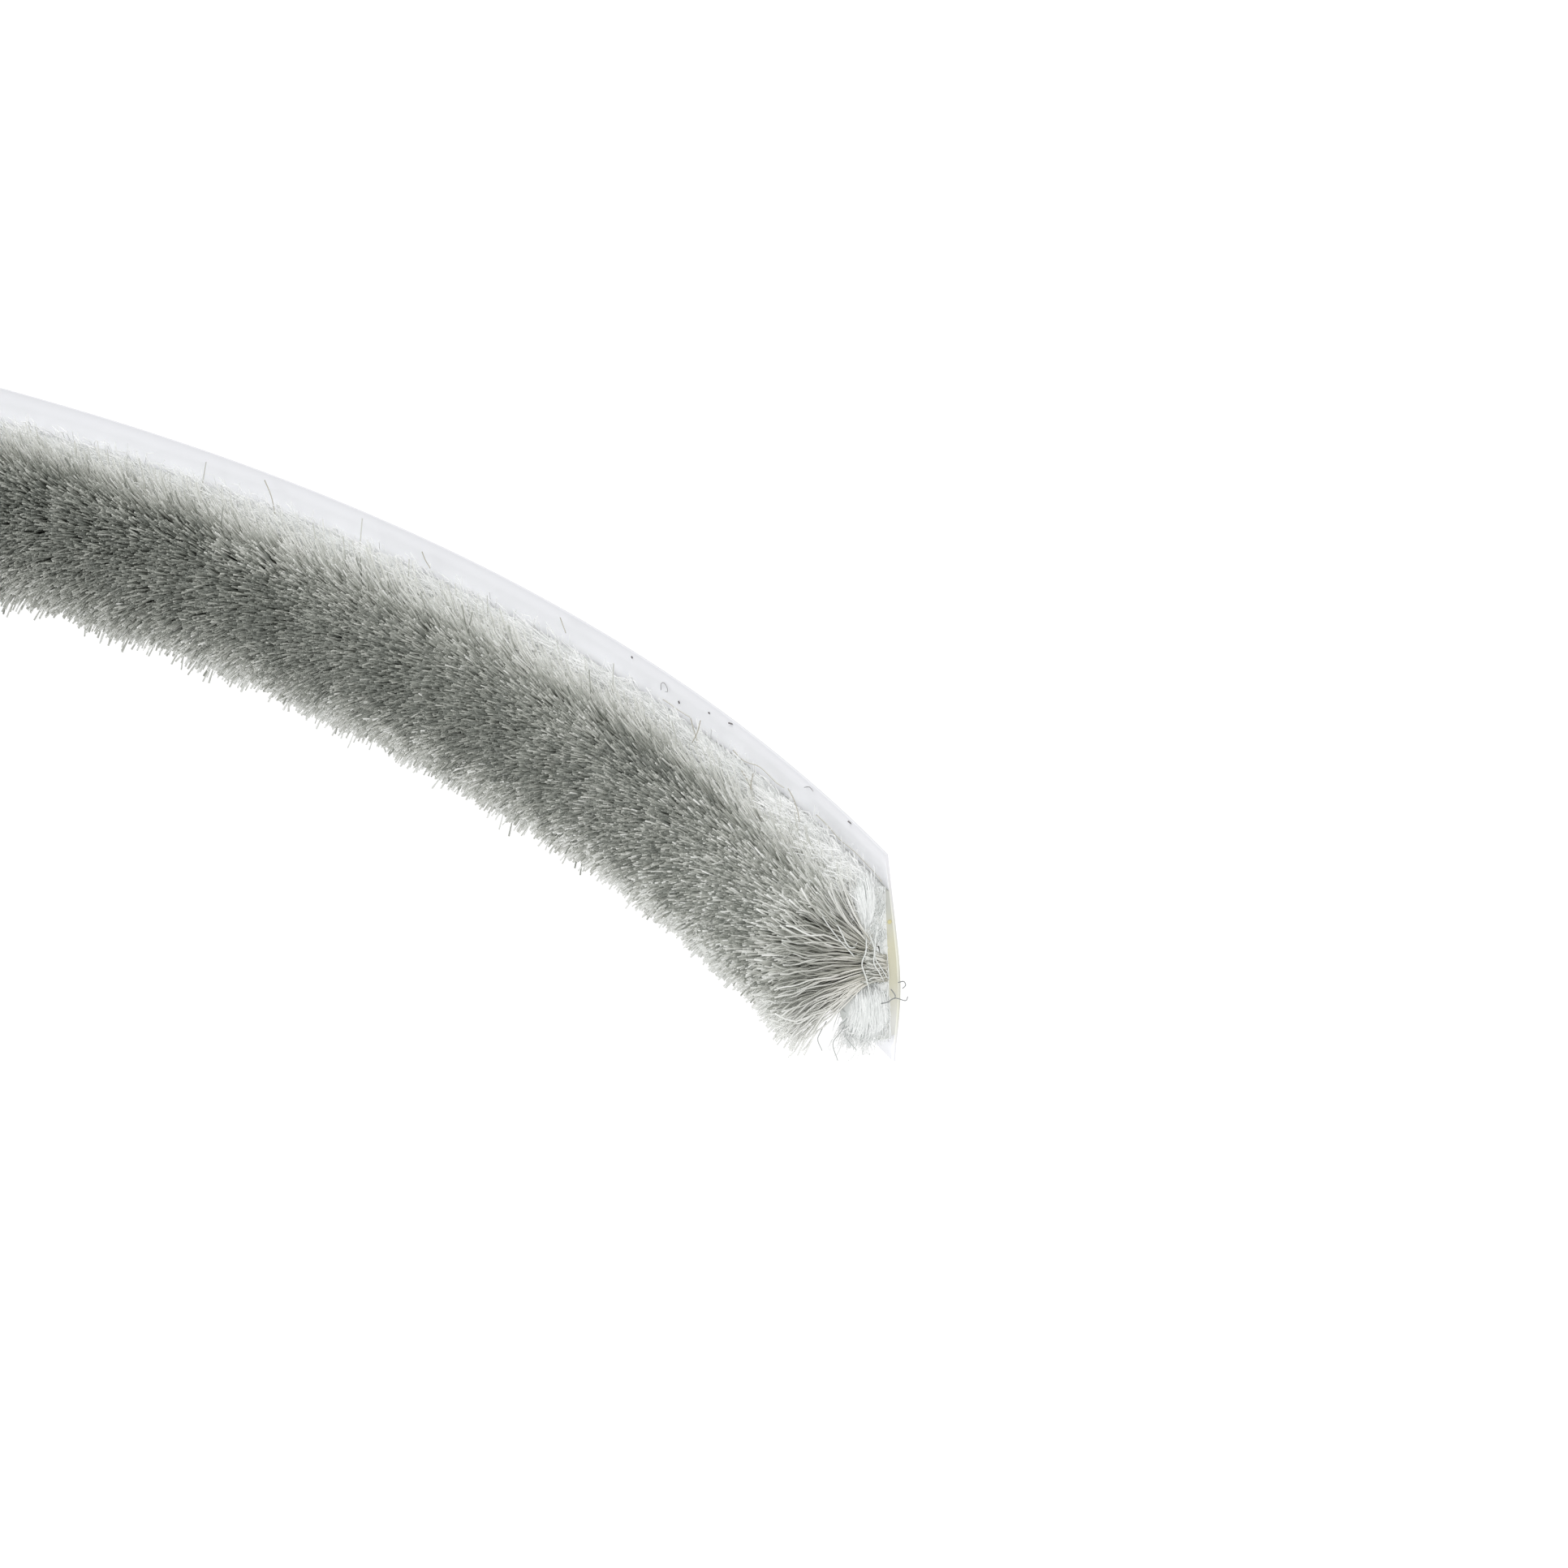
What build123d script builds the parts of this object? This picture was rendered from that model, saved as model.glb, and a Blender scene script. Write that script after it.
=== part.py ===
from build123d import *
import os
from math import cos, degrees, radians, sin

# A 1 m length of self-adhesive brush seal strip, lying loosely coiled on its lower edge.
# Units are millimetres. The section is drawn in a local frame: x runs inwards from the
# liner's back towards the brush, y runs up from the floor.

# Overall length and the way the strip curls. It has nearly straightened at its free end,
# bends more tightly along the tail, eases again and then runs into the loose coil.
strip_length = 1000.0
free_end_heading = 104.6  # degrees from +X, the way the strip runs on from its free end
free_end_radius = 300.0
tail_radius = 130.0
tail_length = 86.0
tail_arcs = 4
ease_radius = 230.0
ease_length = 70.0
coil_radius = 124.0
arcs_per_turn = 6
turn_gap = 7.0  # clear space between one turn's brush and the next turn's liner

# Release liner: a thin film, wider than the backing. It stands furthest out in a low band,
# and leans inwards from there to both of its edges.
liner_width = 9.4
liner_thickness = 0.13
liner_crown_low = 2.9
liner_crown_high = 4.3
liner_foot_lean = 0.44  # how far the lower edge stands in from the crown
liner_top_lean = 0.36
liner_foot_margin = 1.0  # bare liner below the backing

# Adhesive: thickest at the liner's crown, because its outer face follows the liner
adhesive_width = 6.5
adhesive_thickness = 0.42

# Woven backing: two cords stand on each side of a groove that holds the brush
backing_width = 6.9
rim_thickness = 0.5
outer_cord_thickness = 0.78
inner_cord_thickness = 1.0
cord_valley_thickness = 0.6
outer_cord_width = 1.2
cord_shoulder = 0.25  # share of a cord's width that each of its rounded shoulders takes
groove_floor_thickness = 0.35

# Brush: a dense pile of fibres that leaves a narrow root and fans out to its tips. The tips
# lie on an arc round the root, and the upper outer fibres splay out furthest.
overall_height = 6.0  # from the liner's back to the tips that point straight out
pile_root_width = 1.8
fibre_length = 4.8
lowest_fibre = -43.0  # degrees from straight out
highest_fibre = 66.0
tip_steps = 5

# Heights and depths that follow from the sizes above
backing_middle = liner_foot_margin + backing_width / 2
backing_back = liner_thickness + adhesive_thickness
groove_floor = backing_back + groove_floor_thickness
pile_neck = backing_back + inner_cord_thickness
fan_centre = overall_height - fibre_length


def liner_depth(height):
    """How far in from its crown the liner's back stands at a height."""
    if height < liner_crown_low:
        return liner_foot_lean * (liner_crown_low - height) / liner_crown_low
    if height > liner_crown_high:
        above = (height - liner_crown_high) / (liner_width - liner_crown_high)
        return liner_top_lean * above
    return 0.0


def liner_line(depth, low, high):
    """Points up the liner between two heights, at a depth from its back."""
    bends = [bend for bend in (liner_crown_low, liner_crown_high) if low < bend < high]
    return [(liner_depth(height) + depth, height) for height in [low, *bends, high]]


def section(points):
    return make_face(Polyline(*points, close=True))


def liner_section():
    back = liner_line(0, 0, liner_width)
    front = liner_line(liner_thickness, 0, liner_width)
    return section(back + front[::-1])


def adhesive_section():
    low = backing_middle - adhesive_width / 2
    high = backing_middle + adhesive_width / 2
    outer = liner_line(liner_thickness, low, high)
    return section(outer + [(backing_back, high), (backing_back, low)])


def cord_outline(start, end, thickness):
    """One cord's rounded face between two points, given as (offset from the middle, thickness)."""
    shoulder = (end[0] - start[0]) * cord_shoulder
    return [start, (start[0] + shoulder, thickness), (end[0] - shoulder, thickness), end]


def backing_section():
    half_width = backing_width / 2
    half_groove = pile_root_width / 2
    rim = (half_width, rim_thickness)
    valley = (half_width - outer_cord_width, cord_valley_thickness)
    lip = (half_groove, cord_valley_thickness)
    half = [
        (half_width, 0),
        *cord_outline(rim, valley, outer_cord_thickness),
        *cord_outline(valley, lip, inner_cord_thickness)[1:],
        (half_groove, groove_floor_thickness),
    ]
    upper = [(backing_back + depth, backing_middle + offset) for offset, depth in half]
    lower = [(backing_back + depth, backing_middle - offset) for offset, depth in half]
    return section(upper + lower[::-1])


def pile_section():
    half_root = pile_root_width / 2
    tips = []
    for i in range(tip_steps + 1):
        angle = radians(lowest_fibre + (highest_fibre - lowest_fibre) * i / tip_steps)
        depth = fan_centre + fibre_length * cos(angle)
        tips.append((depth, backing_middle + fibre_length * sin(angle)))
    lower = [(groove_floor, backing_middle - half_root), (pile_neck, backing_middle - half_root)]
    upper = [(pile_neck, backing_middle + half_root), (groove_floor, backing_middle + half_root)]
    return section(lower + tips + upper)


def curl():
    """The strip's plan as tangent arcs: (radius, length) pairs from the free end inwards."""
    arcs = []
    for i in range(tail_arcs):
        share = (i + 0.5) / tail_arcs
        curvature = (1 - share) / free_end_radius + share / tail_radius
        arcs.append((1 / curvature, tail_length / tail_arcs))
    arcs.append((ease_radius, ease_length))
    left = strip_length - tail_length - ease_length
    radius = coil_radius
    while left > 1e-6:
        length = min(left, radius * radians(360 / arcs_per_turn))
        arcs.append((radius, length))
        radius -= (overall_height + turn_gap) / arcs_per_turn
        left -= length
    return arcs


def curled_path():
    """The line that the liner's back follows on the floor, one tangent arc after another."""
    spot = Vector(0, 0, 0)
    heading = free_end_heading
    edges = []
    for radius, length in curl():
        to_centre = Vector(-sin(radians(heading)), cos(radians(heading)), 0)
        centre = spot + to_centre * radius
        turn = degrees(length / radius)
        halfway = centre + (spot - centre).rotate(Axis.Z, turn / 2)
        end = centre + (spot - centre).rotate(Axis.Z, turn)
        edges.append(ThreePointArc(spot, halfway, end))
        spot = end
        heading += turn
    return Wire(edges)


def curled(face):
    """A section carried along the path from the free end, staying upright."""
    path = curled_path()
    start = path % 0
    upright = Plane(origin=path @ 0, x_dir=start.rotate(Axis.Z, 90), z_dir=start)
    return sweep(upright * face, path)


parts = {
    "release_liner": curled(liner_section()),
    "adhesive_layer": curled(adhesive_section()),
    "woven_backing": curled(backing_section()),
    "brush_pile": curled(pile_section()),
}

# The origin is on the floor, at the middle of the coil's footprint
footprint = Compound(list(parts.values())).bounding_box()
to_origin = Pos(-footprint.center().X, -footprint.center().Y, -footprint.min.Z)

os.makedirs("parts", exist_ok=True)
for node, shape in parts.items():
    export_step(to_origin * shape, f"parts/{node}.step")
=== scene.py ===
from math import cos, pi, radians, sin

import bpy
import numpy as np
from mathutils import Matrix, Vector


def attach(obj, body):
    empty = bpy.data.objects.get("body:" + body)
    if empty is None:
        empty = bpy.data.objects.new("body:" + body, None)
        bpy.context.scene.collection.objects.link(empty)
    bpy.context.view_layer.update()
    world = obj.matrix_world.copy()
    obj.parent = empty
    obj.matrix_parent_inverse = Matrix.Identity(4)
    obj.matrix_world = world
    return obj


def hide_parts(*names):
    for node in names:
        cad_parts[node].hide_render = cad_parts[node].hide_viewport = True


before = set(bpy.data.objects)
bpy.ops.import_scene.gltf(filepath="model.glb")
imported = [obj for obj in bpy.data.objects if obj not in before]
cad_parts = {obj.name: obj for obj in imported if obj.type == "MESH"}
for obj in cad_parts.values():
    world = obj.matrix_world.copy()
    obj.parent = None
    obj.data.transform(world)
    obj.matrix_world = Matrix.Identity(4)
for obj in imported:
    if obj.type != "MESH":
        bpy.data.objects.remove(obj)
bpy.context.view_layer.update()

MM = 0.001

# The strip's plan: radii and lengths in millimetres, as the CAD part has them
STRIP_LENGTH = 1000.0
FREE_END_HEADING = 104.6
FREE_END_RADIUS = 300.0
TAIL_RADIUS = 130.0
TAIL_LENGTH = 86.0
TAIL_ARCS = 4
EASE_RADIUS = 230.0
EASE_LENGTH = 70.0
COIL_RADIUS = 124.0
ARCS_PER_TURN = 6
TURN_GAP = 7.0

# The section, in millimetres: depth runs inwards from the liner's back, height up from the floor
LINER_WIDTH = 9.4
LINER_THICKNESS = 0.13
ADHESIVE_WIDTH = 6.5
BACKING_BACK = 0.55
BACKING_WIDTH = 6.9
BACKING_MIDDLE = 4.45
OVERALL_HEIGHT = 6.0
FIBRE_LENGTH = 4.8
LOWEST_POINT = 0.1

# The liner's back as (height, lean inwards) points, and the steps over which it is smoothed
LINER_BACK = ((0, 0.44), (1.595, 0.1936), (2.9, 0.03), (4.3, 0.02), (6.4, 0.15),
              (LINER_WIDTH, 0.36))
LINER_SMOOTHING = (-0.6, -0.3, 0.0, 0.3, 0.6)

# The film is darkened with painted shade above this height, and stained by glue this far in from
# its cut end
LINER_PAINTED_SHADE_ABOVE = 7.8
LINER_STAIN_DEPTH = 0.02

# The backing's cords as (middle, half width, edge thickness, rise), and the groove between them
INNER_CORD = (1.57, 0.70, 0.6, 0.45)
OUTER_CORD = (2.86, 0.62, 0.5, 0.30)
OUTER_CORD_START = 2.2
GROOVE_HALF_WIDTH = 0.86
GROOVE_THICKNESS = 0.35
GROOVE_FLOOR = BACKING_BACK + GROOVE_THICKNESS
GROOVE_WALL = GROOVE_HALF_WIDTH - 0.02
PICK_LENGTH = 0.62

# The dense middle of the pile, in degrees from straight out, and the splayed outer rows
MIDDLE_LOW = -40.5
MIDDLE_HIGH = 46.0
UPPER_ROW = (49.0, 75.0)
UPPER_ROW_END = (52.0, 80.0)
LOWER_ROW = (-33.5, -44.0)
END_FAN = (-41.0, 60.0)
END_FAN_DROOP = -24.0
ROOT_DEPTH = 0.92
ROOT_SPREAD = 0.66
ROOT_SPREAD_ANGLE = 40.0

# A fibre's curve has its knee at these shares of the way to the tip, and a lift further out
KNEE_OUTWARDS = 0.44
KNEE_ACROSS = 0.36
KNEE_LIFT = 0.24

# How far single fibres stray from their clump: millimetres along the strip, and degrees
TIP_SCATTER = (0.42, 6.0)
ROW_SCATTER = (0.40, 3.0)
END_FAN_SCATTER = (0.30, 5.5)
STRAY_TIPS = 0.03
STRAY_IN_ROW = 0.006

# The dim inside of the pile: its reach as a share of the fibres' length, the degrees by which
# it is narrower than the fan on each side, its root's half width, and its stretch of the strip
CORE_REACH = 0.70
CORE_MARGIN = 8.0
CORE_ROOT = 0.6
CORE_STRETCH = (3.0, STRIP_LENGTH - 1.5)

# Radii of the fibres, in millimetres
ROW_RADIUS = 0.036
END_FAN_RADIUS = 0.042
ROOT_RADIUS = 0.045
DRAPE_RADIUS = 0.034
FRAY_RADIUS = 0.032
FLUFF_RADIUS = 0.030

# Waves along a fibre's length, in radians: a long sway and a short crimp
SWAY_PACE = (5.0, 9.0)
CRIMP_PACE = (12.0, 20.0)

# Where the frayed ends on the cut face stand, above, below and beside the groove
FUZZ_HEIGHTS = ((5.75, 7.8), (1.1, 3.6), (4.6, 5.4))
FLUFF_HEIGHTS = (6.6, 7.85)
FRAY_TOP = 8.7
FLUFF_TOP = 8.75

# The swollen cords at the free end: middle, reach, and the share by which the foot narrows
UPPER_TUFT = ((0.25, 1.45, 7.08), (0.62, 0.66, 1.38), 0.72)
LOWER_TUFT = ((0.35, 1.55, 2.42), (0.72, 1.10, 1.36), -0.04)

# The photographed stretch is detailed most finely; beyond it the fibres are fewer and thicker
FINE_END = 92.0
COARSE_START = 150.0
COARSE_FINENESS = 0.43


def smoothstep(low, high, value):
    """0 below the low value, 1 above the high one, and smooth between them."""
    t = np.clip((value - low) / (high - low), 0, 1)
    return t * t * (3 - 2 * t)


def hill(value, middle, reach):
    """A smooth hill that is 1 at its middle."""
    return np.exp(-((value - middle) / reach) ** 2)


def curl():
    """The plan as tangent arcs: (radius, length) pairs from the free end inwards."""
    arcs = []
    for i in range(TAIL_ARCS):
        share = (i + 0.5) / TAIL_ARCS
        curvature = (1 - share) / FREE_END_RADIUS + share / TAIL_RADIUS
        arcs.append((1 / curvature, TAIL_LENGTH / TAIL_ARCS))
    arcs.append((EASE_RADIUS, EASE_LENGTH))
    left = STRIP_LENGTH - TAIL_LENGTH - EASE_LENGTH
    radius = COIL_RADIUS
    while left > 1e-6:
        length = min(left, radius * radians(360 / ARCS_PER_TURN))
        arcs.append((radius, length))
        radius -= (OVERALL_HEIGHT + TURN_GAP) / ARCS_PER_TURN
        left -= length
    return arcs


def path_starts():
    """Distance, x, y, heading and radius at the start of each arc."""
    rows = []
    x = y = travelled = 0.0
    heading = radians(FREE_END_HEADING)
    for radius, length in curl():
        rows.append((travelled, x, y, heading, radius))
        centre_x = x - sin(heading) * radius
        centre_y = y + cos(heading) * radius
        heading += length / radius
        x = centre_x + sin(heading) * radius
        y = centre_y - cos(heading) * radius
        travelled += length
    return np.array(rows)


STARTS = path_starts()


def along(distance):
    """Points and headings of the path at an array of distances from the free end."""
    distance = np.asarray(distance, float)
    row = np.searchsorted(STARTS[:, 0], distance, side="right") - 1
    start, x, y, heading, radius = STARTS[np.clip(row, 0, len(STARTS) - 1)].T
    turned = heading + (distance - start) / radius
    px = x + (np.sin(turned) - np.sin(heading)) * radius
    py = y - (np.cos(turned) - np.cos(heading)) * radius
    return px, py, turned


def footprint_centre():
    """The middle of the box round the liner's back and the pile's tips, in plan."""
    px, py, heading = along(np.arange(0, STRIP_LENGTH + 0.01, 0.05))
    tx = px - np.sin(heading) * OVERALL_HEIGHT
    ty = py + np.cos(heading) * OVERALL_HEIGHT
    xs = np.concatenate([px, tx])
    ys = np.concatenate([py, ty])
    return (xs.min() + xs.max()) / 2, (ys.min() + ys.max()) / 2


CENTRE_X, CENTRE_Y = footprint_centre()


def place(distance, depth, height):
    """Points of the strip in metres, from distances, depths and heights in millimetres."""
    distance, depth, height = np.broadcast_arrays(distance, depth, height)
    shape = distance.shape
    px, py, heading = along(distance.ravel())
    heading = heading.reshape(shape)
    x = px.reshape(shape) - CENTRE_X - np.sin(heading) * depth
    y = py.reshape(shape) - CENTRE_Y + np.cos(heading) * depth
    return np.stack([x, y, height], -1) * MM


def liner_depth(height):
    """How far in the liner's back stands at a height: least in a low band."""
    heights, leans = zip(*LINER_BACK)
    near = [np.interp(height + step, heights, leans) for step in LINER_SMOOTHING]
    return sum(near) / len(near)


def new_mesh(name, vertices, loops, sizes, smooth=True, attributes=None):
    """A mesh object from flat arrays: loops are vertex indices, sizes the corners per face."""
    mesh = bpy.data.meshes.new(name)
    mesh.vertices.add(len(vertices))
    mesh.vertices.foreach_set("co", np.ascontiguousarray(vertices, np.float32).ravel())
    mesh.loops.add(len(loops))
    mesh.loops.foreach_set("vertex_index", np.ascontiguousarray(loops, np.int32))
    starts = np.concatenate([[0], np.cumsum(sizes)[:-1]]).astype(np.int32)
    mesh.polygons.add(len(sizes))
    mesh.polygons.foreach_set("loop_start", starts)
    mesh.polygons.foreach_set("loop_total", np.asarray(sizes, np.int32))
    shading = np.broadcast_to(np.asarray(smooth, bool), (len(sizes),))
    mesh.polygons.foreach_set("use_smooth", np.ascontiguousarray(shading))
    for key, values in (attributes or {}).items():
        layer = mesh.attributes.new(key, "FLOAT", "POINT")
        layer.data.foreach_set("value", np.ascontiguousarray(values, np.float32))
    mesh.update()
    mesh.validate()
    piece = bpy.data.objects.new(name, mesh)
    bpy.context.scene.collection.objects.link(piece)
    return piece


def swept(name, stations, outline, material, bumps=None, attributes=None):
    """A closed outline of (depth, height) points carried along the strip, with flat ends. Each
    attribute is a function of distance, height and the share of the way round the outline."""
    depth, height = np.array(outline, float).T
    rings = len(stations)
    around = len(depth)
    grid = (rings, around)
    depth = np.broadcast_to(depth, grid)
    height = np.broadcast_to(height, grid)
    distance = np.broadcast_to(np.asarray(stations, float)[:, None], grid)
    if bumps:
        distance, depth, height = bumps(distance, depth, height)
    vertices = place(distance, depth, height).reshape(-1, 3)
    near = np.arange(rings - 1)[:, None] * around
    far = near + around
    point = np.arange(around)
    after = (point + 1) % around
    quads = np.stack([near + point, far + point, far + after, near + after], -1).reshape(-1, 4)
    last_ring = (rings - 1) * around + point[::-1]
    loops = np.concatenate([quads.ravel(), point, last_ring])
    sizes = np.concatenate([np.full(len(quads), 4), [around, around]])
    smooth = np.concatenate([np.full(len(quads), True), [False, False]])
    share_of_outline = np.broadcast_to(point / around, grid)
    values = {key: made(distance, height, share_of_outline).ravel()
              for key, made in (attributes or {}).items()}
    piece = new_mesh(name, vertices, loops, sizes, smooth, values)
    piece.data.materials.append(material)
    return piece


def strands(name, points, radii, material, shade, sides=3, seed=0):
    """Many thin fibres as one mesh: points (count, steps, 3) and radii in metres. Where the
    first radius is 0, a fibre starts from a point."""
    points = np.asarray(points, float)
    count, steps = points.shape[:2]
    radii = np.broadcast_to(radii, (count, steps))
    rng = np.random.default_rng(seed)
    tangent = np.gradient(points, axis=1)
    tangent /= np.linalg.norm(tangent, axis=2, keepdims=True) + 1e-12
    side = np.cross(tangent[:, :1], rng.normal(size=(count, 1, 3)))
    side = side - (side * tangent).sum(2, keepdims=True) * tangent
    side /= np.linalg.norm(side, axis=2, keepdims=True) + 1e-12
    up = np.cross(tangent, side)
    angle = np.arange(sides) * 2 * pi / sides
    ring = side[:, :, None] * np.cos(angle)[:, None] + up[:, :, None] * np.sin(angle)[:, None]
    ring = points[:, :, None] + ring * radii[:, :, None, None]
    pointed = bool(radii[0, 0] == 0)
    corner = np.arange(sides)
    around = list(zip(corner, (corner + 1) % sides))
    share = np.linspace(0, 1, steps)
    if pointed:
        vertices = np.concatenate([points[:, :1], ring[:, 1:].reshape(count, -1, 3)], 1)
        faces = [(0, 1 + b, 1 + a) for a, b in around]
        first = 1
        share = np.concatenate([share[:1], np.repeat(share[1:], sides)])
    else:
        vertices = ring.reshape(count, -1, 3)
        faces = [tuple(corner[::-1])]
        first = 0
        share = np.repeat(share, sides)
    rings = steps - 1 if pointed else steps
    for low in range(first, first + (rings - 1) * sides, sides):
        high = low + sides
        faces += [(low + a, low + b, high + b, high + a) for a, b in around]
    faces.append(tuple(first + (rings - 1) * sides + corner))
    vertices_each = vertices.shape[1]
    first_vertices = np.arange(count)[:, None] * vertices_each
    loops = (np.concatenate(faces)[None] + first_vertices).ravel()
    sizes = [len(face) for face in faces]
    smooth = [len(face) == 4 or (pointed and 0 in face) for face in faces]
    shade = np.repeat(np.asarray(shade, float), vertices_each)
    piece = new_mesh(
        name, vertices.reshape(-1, 3), loops, np.tile(sizes, count), np.tile(smooth, count),
        {"shade": shade, "share": np.tile(share, count)},
    )
    piece.data.materials.append(material)
    return piece


def tapering(rng, radius, count, steps, unevenness=(0.7, 1.2), tip=0.7):
    """Radii in metres along fibres of uneven thickness that start from a point."""
    radii = radius * rng.uniform(*unevenness, (count, 1)) * MM * np.linspace(1, tip, steps)
    radii[:, 0] = 0
    return radii


def lattice_noise(seed, a, b, cell_a, cell_b):
    """Smooth noise from -1 to 1 over two coordinates, from cells of the given sizes."""
    rows, columns = 512, 64
    grid = np.random.default_rng(seed).uniform(-1, 1, (rows, columns))
    a = np.asarray(a) / cell_a
    b = np.asarray(b) / cell_b
    row = np.floor(a).astype(int)
    column = np.floor(b).astype(int)
    share_a = smoothstep(0, 1, a - row)
    share_b = smoothstep(0, 1, b - column)

    def between_columns(row):
        left = grid[row % rows, column % columns]
        right = grid[row % rows, (column + 1) % columns]
        return left * (1 - share_b) + right * share_b

    return between_columns(row) * (1 - share_a) + between_columns(row + 1) * share_a


def fineness(distance):
    """1 in the photographed stretch, falling to the coarse share beyond it."""
    return 1 - (1 - COARSE_FINENESS) * smoothstep(FINE_END, COARSE_START, np.asarray(distance))


def spread_distances(rng, low, high, per_mm):
    """Random distances along the strip, fewer where the fibres are coarser."""
    bins = np.arange(low, high, 1.0)
    width = np.minimum(high - bins, 1.0)
    expected = per_mm * width * fineness(bins + width / 2) ** 2
    counts = np.floor(expected + rng.random(len(bins))).astype(int)
    start = np.repeat(bins, counts)
    return start + rng.random(len(start)) * np.repeat(width, counts)


def fan(angle, share):
    """Depth and offset from the backing's middle of a point on a fibre that leaves the pile's
    root at an angle in degrees, at a share of its length."""
    turn = np.radians(angle)
    root_offset = ROOT_SPREAD * np.tanh(angle / ROOT_SPREAD_ANGLE)
    tip_depth = OVERALL_HEIGHT - FIBRE_LENGTH * (1 - np.cos(turn))
    tip_offset = FIBRE_LENGTH * np.sin(turn)
    knee_depth = ROOT_DEPTH + KNEE_OUTWARDS * (tip_depth - ROOT_DEPTH) + KNEE_LIFT
    knee_offset = root_offset + KNEE_ACROSS * (tip_offset - root_offset)
    root = (1 - share) ** 2
    knee = 2 * share * (1 - share)
    tip = share ** 2
    depth = root * ROOT_DEPTH + knee * knee_depth + tip * tip_depth
    offset = root * root_offset + knee * knee_offset + tip * tip_offset
    return depth, offset


def across_face(angle):
    """Millimetres along the arc of the tips that an angle in degrees spans."""
    return angle * FIBRE_LENGTH * pi / 180


def fibre_lean(distance, angle, seed):
    """How far clumps of fibres lean at their tips, in mm along the strip and in degrees. The
    lowest ones are lifted a little over part of the photographed stretch."""
    across = across_face(angle)
    lean_s = 0.36 * lattice_noise(seed, distance, across, 1.0, 0.9)
    lean_s += 0.22 * lattice_noise(seed + 1, distance, across, 3.7, 2.6)
    lean_angle = 4.5 * lattice_noise(seed + 2, distance, across, 0.9, 0.9)
    lifted = 3.5 * hill(distance, 22, 18) * smoothstep(15, 40, -angle)
    return lean_s, lean_angle + lifted


def flank_painted_light(distance, angle):
    """Painted light and shade on the upper flank: painted shade in a dark cleft, and painted light
    over a pale stretch and at a paler end.
    """
    cleft_painted_shade = -0.26 * hill(distance, 23, 7) * hill(angle, 50, 15)
    pale = 0.15 * hill(distance, 54, 14) * hill(angle, 56, 18)
    end = 0.08 * hill(distance, 0, 6) * hill(angle, 55, 9)
    return cleft_painted_shade + pale + end


def middle_tone_with_painted_light(distance, angle):
    """How light the fibres of the middle are, with painted light and shade: painted shade that is
    darkest in the dense part above straight out and deepens further from the free end, and painted
    light at the pile's rims and towards the free end, where light passes between them."""
    dense = 0.52 - 0.04 * smoothstep(4, 10, distance) - 0.165 * smoothstep(12, 42, distance)
    lower = 0.67 * smoothstep(0, 40, -angle)
    upper = (0.10 + 0.16 * smoothstep(16, 38, distance)) * smoothstep(26, 46, angle)
    far = -0.11 * smoothstep(60, 72, distance) * smoothstep(12, 30, np.abs(angle))
    return dense + lower + upper + far + flank_painted_light(distance, angle)


# Colours of the painted glow that stands in for light passing through thin white fibres, and of
# the film's painted glow, which is a little bluer
FIBRE_GLOW = (0.99, 1, 0.995, 1)
FILM_GLOW = (0.97, 0.975, 1, 1)
WHITE_ALONE = (1, 1, 1)


def principled(name, **values):
    """A material with one Principled shader, its node tree and the shader."""
    material = bpy.data.materials.new(name)
    material.use_nodes = True
    tree = material.node_tree
    shader = tree.nodes["Principled BSDF"]
    for key, value in values.items():
        shader.inputs[key.replace("_", " ")].default_value = value
    return material, tree, shader


def node(tree, kind, **values):
    made = tree.nodes.new("ShaderNode" + kind)
    for key, value in values.items():
        if key in made.inputs:
            made.inputs[key].default_value = value
        else:
            setattr(made, key, value)
    return made


def attribute(tree, name):
    return node(tree, "Attribute", attribute_name=name).outputs["Fac"]


def ramp(tree, source, stops):
    made = node(tree, "ValToRGB")
    tree.links.new(source, made.inputs["Fac"])
    elements = made.color_ramp.elements
    while len(elements) < len(stops):
        elements.new(0.5)
    for element, (position, colour) in zip(elements, stops):
        element.position = position
        element.color = (*colour, 1)
    return made.outputs["Color"]


def noise(tree, scale, detail=3.0, roughness=0.5):
    made = node(tree, "TexNoise", Scale=scale, Detail=detail, Roughness=roughness)
    coordinates = node(tree, "TexCoord")
    tree.links.new(coordinates.outputs["Object"], made.inputs["Vector"])
    return made.outputs["Fac"]


def multiply(tree, first, second):
    made = node(tree, "Mix", data_type="RGBA", blend_type="MULTIPLY", Factor=1.0)
    tree.links.new(first, made.inputs["A"])
    tree.links.new(second, made.inputs["B"])
    return made.outputs["Result"]


def paint(tree, shader, *colours):
    """The base colour: one colour, or the product of several."""
    colour = colours[0]
    for other in colours[1:]:
        colour = multiply(tree, colour, other)
    tree.links.new(colour, shader.inputs["Base Color"])


def bump(tree, shader, source, strength, distance):
    made = node(tree, "Bump", Strength=strength, Distance=distance)
    tree.links.new(source, made.inputs["Height"])
    tree.links.new(made.outputs["Normal"], shader.inputs["Normal"])


def fibre_material(name, shades, root_painted_shade, roughness=0.42, glow=0.0):
    """Filaments: a shade of their own each, darkened towards their roots by painted shade, with an
    optional painted glow.
    """
    material, tree, shader = principled(
        name, Roughness=roughness, Specular_IOR_Level=0.45,
        Emission_Color=FIBRE_GLOW, Emission_Strength=glow,
    )
    own = ramp(tree, attribute(tree, "shade"), shades)
    root = ramp(tree, attribute(tree, "share"), root_painted_shade)
    blotch = ramp(tree, noise(tree, 420.0), [(0.3, (0.88, 0.89, 0.88)), (0.7, WHITE_ALONE)])
    paint(tree, shader, own, root, blotch)
    return material


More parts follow.
